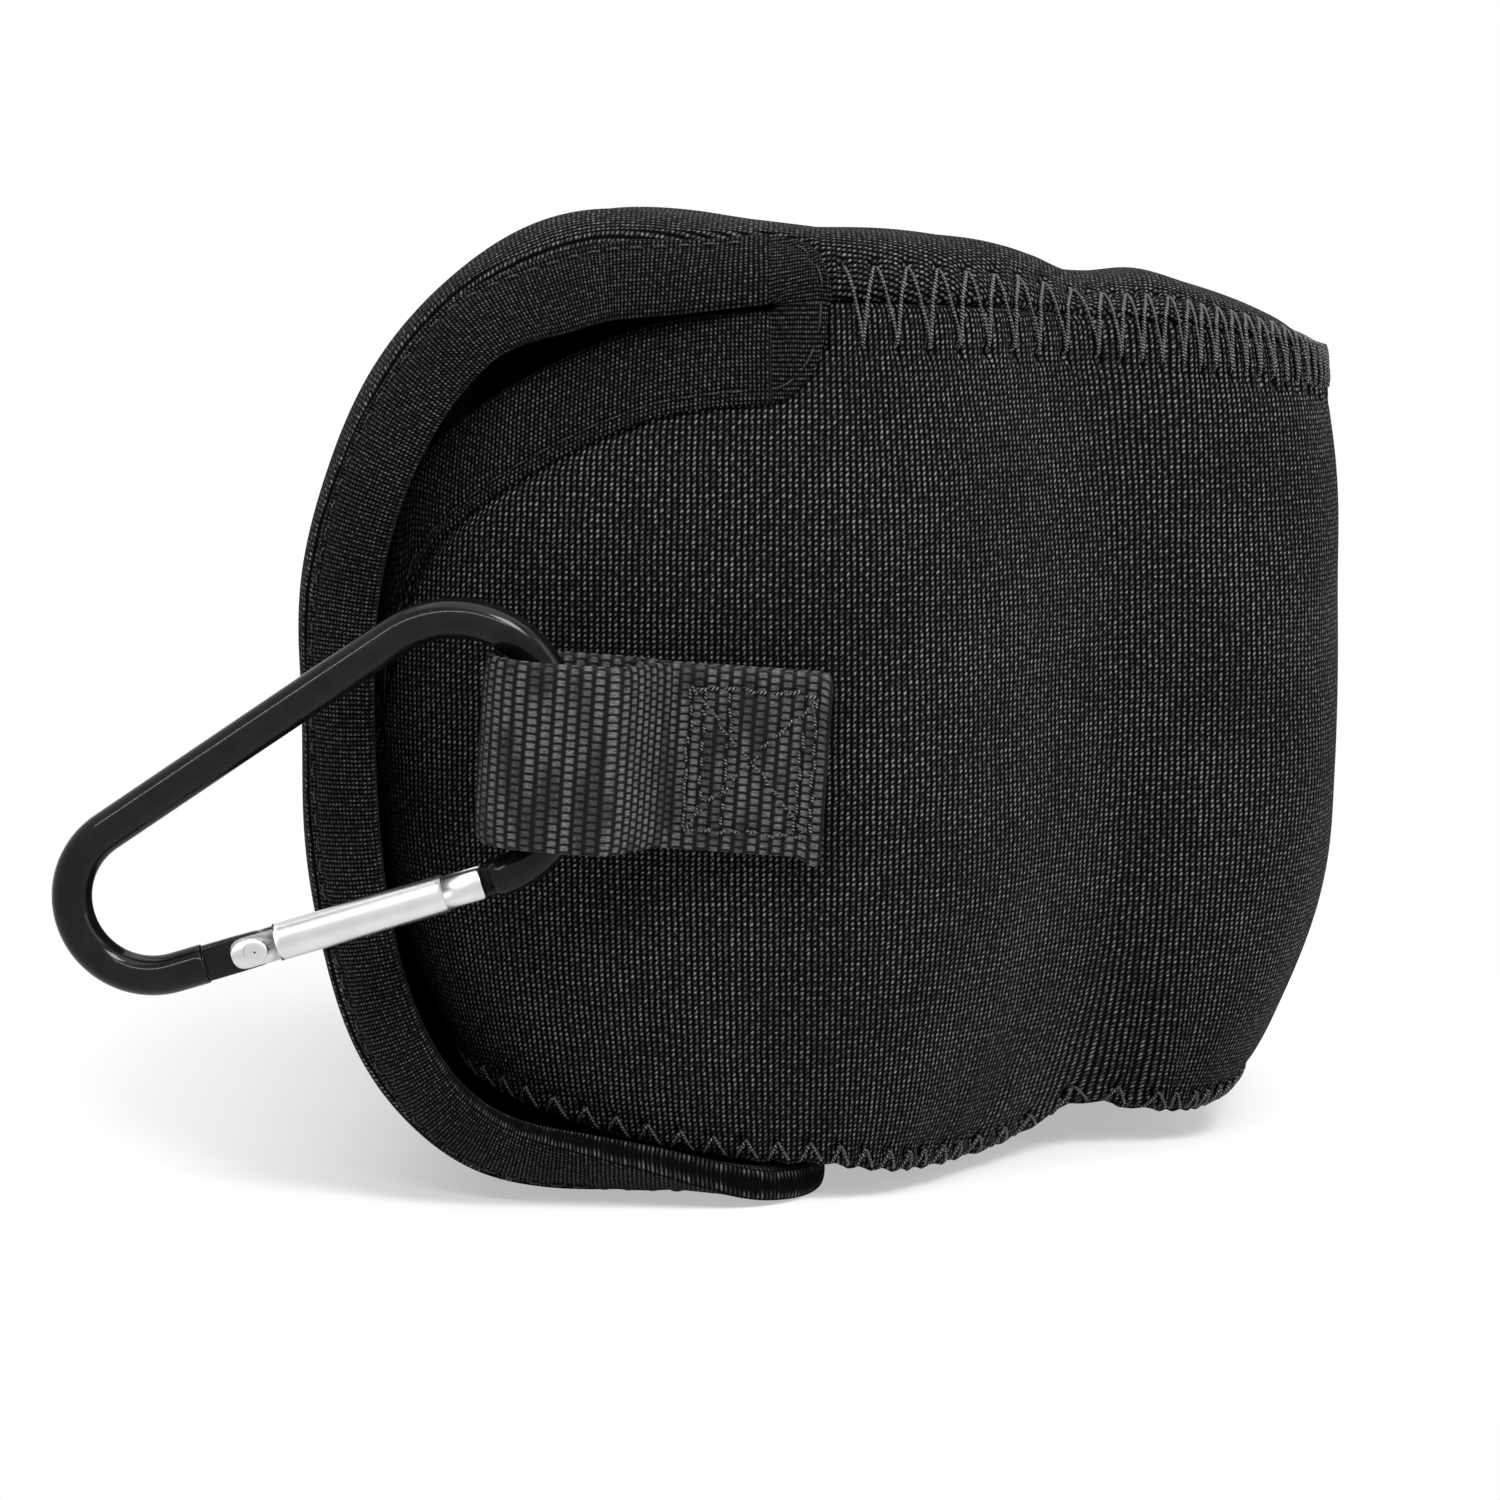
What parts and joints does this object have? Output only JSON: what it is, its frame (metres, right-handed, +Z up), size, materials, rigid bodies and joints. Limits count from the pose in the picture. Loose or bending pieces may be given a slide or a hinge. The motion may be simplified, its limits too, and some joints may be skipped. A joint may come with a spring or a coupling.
{
  "type": "neoprene camera pouch",
  "caption": "Padded knit-covered pouch with a lens bulge, a wrap-round back flap bound in tape, a webbing loop and a small spring-gate carabiner.",
  "frame": {"origin": "on the surface that the closed pouch stands on, under the flat tail of the flap", "axes": "+X towards the lens end, +Z up, -Y on the side with the webbing loop"},
  "size_m": [0.1453, 0.1422, 0.1098],
  "materials": {
    "knit_neoprene": "matt ribbed knit over foam",
    "binding_knit": "matt knit tape",
    "grosgrain": "ribbed weave, slight sheen",
    "hook_tape": "matt bristled",
    "loop_tape": "matt napped",
    "black_aluminium": "glossy black coat",
    "satin_metal": "satin",
    "spring_steel": "bright drawn wire"
  },
  "bodies": {
    "pouch": {"wrap_panel": "knit_neoprene", "top_panel": "knit_neoprene", "bottom_panel": "knit_neoprene", "mouth_binding": "binding_knit", "loop_patch": "loop_tape", "webbing_loop": "grosgrain"},
    "flap": {"back_flap": "knit_neoprene", "flap_binding": "binding_knit", "hook_patch": "hook_tape"},
    "carabiner": {"carabiner_frame": "black_aluminium", "pivot_pin": "satin_metal"},
    "gate": {"carabiner_gate": "satin_metal", "latch_pin": "satin_metal", "gate_spring": "spring_steel", "spring_plunger": "satin_metal"}
  },
  "joints": [
    {"name": "flap_lift", "type": "hinge", "parent": "pouch", "child": "flap", "pos_m": [0.008, 0, 0.1075], "axis": [0, 1, 0], "range_deg": [0, 110]},
    {"name": "carabiner_swing", "type": "hinge", "parent": "pouch", "child": "carabiner", "pos_m": [-0.02177, -0.07024, 0.05267], "axis": [0.0698, 0, 0.9976], "range_deg": [0, 140]},
    {"name": "gate_open", "type": "hinge", "parent": "carabiner", "child": "gate", "pos_m": [-0.0527, -0.07024, 0.0313], "axis": [0, -1, 0], "range_deg": [0, 28], "stiffness_Nm_per_rad": 0.02, "springref_deg": -20.05}
  ]
}
